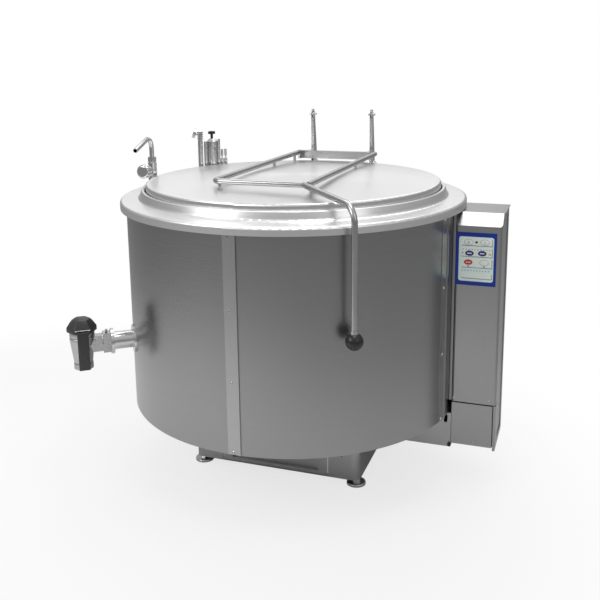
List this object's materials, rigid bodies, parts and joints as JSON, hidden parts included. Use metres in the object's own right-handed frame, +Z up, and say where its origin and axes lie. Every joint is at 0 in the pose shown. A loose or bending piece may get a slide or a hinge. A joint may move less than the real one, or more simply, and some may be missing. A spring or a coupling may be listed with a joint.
{
  "type": "steam jacketed kettle",
  "caption": "Large round cooking kettle on a boxed base, with a hinged spring-balanced lid, plug tap, swivelling spout, safety valves and a keypad column.",
  "frame": {"origin": "on the floor, on the axis of the round vat", "axes": "+Z up, -Y the front, +X the side with the control column"},
  "size_m": [1.2872, 1.2201, 1.1372],
  "materials": {
    "stainless_brushed": "brushed stainless steel sheet",
    "stainless_bright": "finely ground, bright stainless steel",
    "stainless_plain": "plain turned or welded stainless steel",
    "cast_steel": "cast stainless steel, tumbled",
    "chrome": "polished",
    "brass": "turned",
    "black_plastic": "glossy black moulding",
    "spring_steel": "drawn spring wire",
    "rubber": "soft pale silicone",
    "insulation": "mineral wool blanket",
    "panel_film": "printed film, dark blue border and pale green field",
    "board": "printed circuit board",
    "contactor": "moulded",
    "dial": "white enamel",
    "lens": "clear"
  },
  "bodies": {
    "kettle": {"base_frame": "stainless_brushed", "base_front_panel": "stainless_brushed", "bottom_pan": "stainless_brushed", "cable_gland": "brass", "circuit_board": "board", "cock_bodies": "chrome", "column_bracket": "stainless_brushed", "column_case": "stainless_brushed", "column_front_cover": "stainless_brushed", "column_lower_cover": "stainless_brushed", "contactors": "contactor", "deck": "stainless_bright", "drain_pipe": "stainless_plain", "drain_strainer": "stainless_bright", "gauge_case": "chrome", "gauge_dial": "dial", "gauge_lens": "lens", "gauge_pipe": "stainless_plain", "heater": "stainless_plain", "hinge_brackets": "stainless_brushed", "hinge_shaft": "stainless_plain", "insulation": "insulation", "joint_strips": "stainless_brushed", "membrane_panel": "panel_film", "mounting_plate": "stainless_brushed", "outer_casing": "stainless_brushed", "pan_head_screws": "chrome", "relief_tubes": "stainless_plain", "safety_manifold": "stainless_plain", "safety_valve": "stainless_plain", "spout_body": "chrome", "spout_nut": "chrome", "spring_anchors": "stainless_brushed", "steam_jacket": "stainless_plain", "tap_body": "cast_steel", "union_nut": "cast_steel", "vat": "stainless_bright", "wall_ring": "stainless_plain"},
    "lid": {"lid_shell": "stainless_bright", "lid_seal": "rubber", "lid_frame": "stainless_brushed", "lever": "stainless_brushed", "ball_knob": "black_plastic", "hinge_arm_left": "stainless_brushed", "hinge_arm_right": "stainless_brushed"},
    "rod_left": {"pull_rod_left": "stainless_plain", "balance_spring_left": "spring_steel"},
    "rod_right": {"pull_rod_right": "stainless_plain", "balance_spring_right": "spring_steel"},
    "tap_plug_body": {"tap_plug": "brass", "tap_handle": "black_plastic"},
    "spout": {"spout_pipe": "chrome"},
    "spout_valve": {"spout_knob": "chrome"},
    "relief_knob": {"valve_knob": "black_plastic"},
    "cock_left": {"cock_pin_left": "chrome"},
    "cock_right": {"cock_pin_right": "chrome"},
    "foot_front_left": {"levelling_foot_front_left": "stainless_plain"},
    "foot_front_right": {"levelling_foot_front_right": "stainless_plain"},
    "foot_rear_left": {"levelling_foot_rear_left": "stainless_plain"},
    "foot_rear_right": {"levelling_foot_rear_right": "stainless_plain"}
  },
  "joints": [
    {"name": "lid_hinge", "type": "hinge", "parent": "kettle", "child": "lid", "pos_m": [0, 0.566, 0.925], "axis": [-1, 0, 0], "range_deg": [0, 90]},
    {"name": "rod_left_swing", "type": "hinge", "parent": "lid", "child": "rod_left", "pos_m": [-0.118, 0.561, 1.118], "axis": [-1, 0, 0], "range_deg": [-73.3, 0], "deforming": ["balance_spring_left"]},
    {"name": "rod_right_swing", "type": "hinge", "parent": "lid", "child": "rod_right", "pos_m": [0.118, 0.561, 1.118], "axis": [-1, 0, 0], "range_deg": [-73.3, 0], "deforming": ["balance_spring_right"]},
    {"name": "tap_turn", "type": "hinge", "parent": "kettle", "child": "tap_plug_body", "pos_m": [-0.55318, -0.43219, 0.464], "axis": [0, 0, -1], "range_deg": [0, 90]},
    {"name": "spout_swivel", "type": "hinge", "parent": "kettle", "child": "spout", "pos_m": [-0.522, 0, 1], "axis": [0, 0, 1], "range_deg": [-90, 85]},
    {"name": "spout_valve_turn", "type": "hinge", "parent": "kettle", "child": "spout_valve", "pos_m": [-0.522, -0.055, 0.959], "axis": [0, -1, 0], "range_deg": [0, 180]},
    {"name": "relief_knob_turn", "type": "hinge", "parent": "kettle", "child": "relief_knob", "pos_m": [-0.43122, 0.29416, 1.05], "axis": [0, 0, 1], "range_deg": [0, 90]},
    {"name": "cock_left_turn", "type": "hinge", "parent": "kettle", "child": "cock_left", "pos_m": [-0.40624, 0.3278, 0.985], "axis": [0, 0, 1], "range_deg": [0, 90]},
    {"name": "cock_right_turn", "type": "hinge", "parent": "kettle", "child": "cock_right", "pos_m": [-0.39693, 0.33901, 0.985], "axis": [0, 0, 1], "range_deg": [0, 90]},
    {"name": "foot_front_left_screw", "type": "slide", "parent": "kettle", "child": "foot_front_left", "axis": [0, 0, -1], "range_m": [0, 0.03]},
    {"name": "foot_front_right_screw", "type": "slide", "parent": "kettle", "child": "foot_front_right", "axis": [0, 0, -1], "range_m": [0, 0.03]},
    {"name": "foot_rear_left_screw", "type": "slide", "parent": "kettle", "child": "foot_rear_left", "axis": [0, 0, -1], "range_m": [0, 0.03]},
    {"name": "foot_rear_right_screw", "type": "slide", "parent": "kettle", "child": "foot_rear_right", "axis": [0, 0, -1], "range_m": [0, 0.03]}
  ],
  "couplings": [
    {"joint": "rod_left_swing", "follows": "lid_hinge", "ratio": -0.8136},
    {"joint": "rod_right_swing", "follows": "lid_hinge", "ratio": -0.8136}
  ]
}
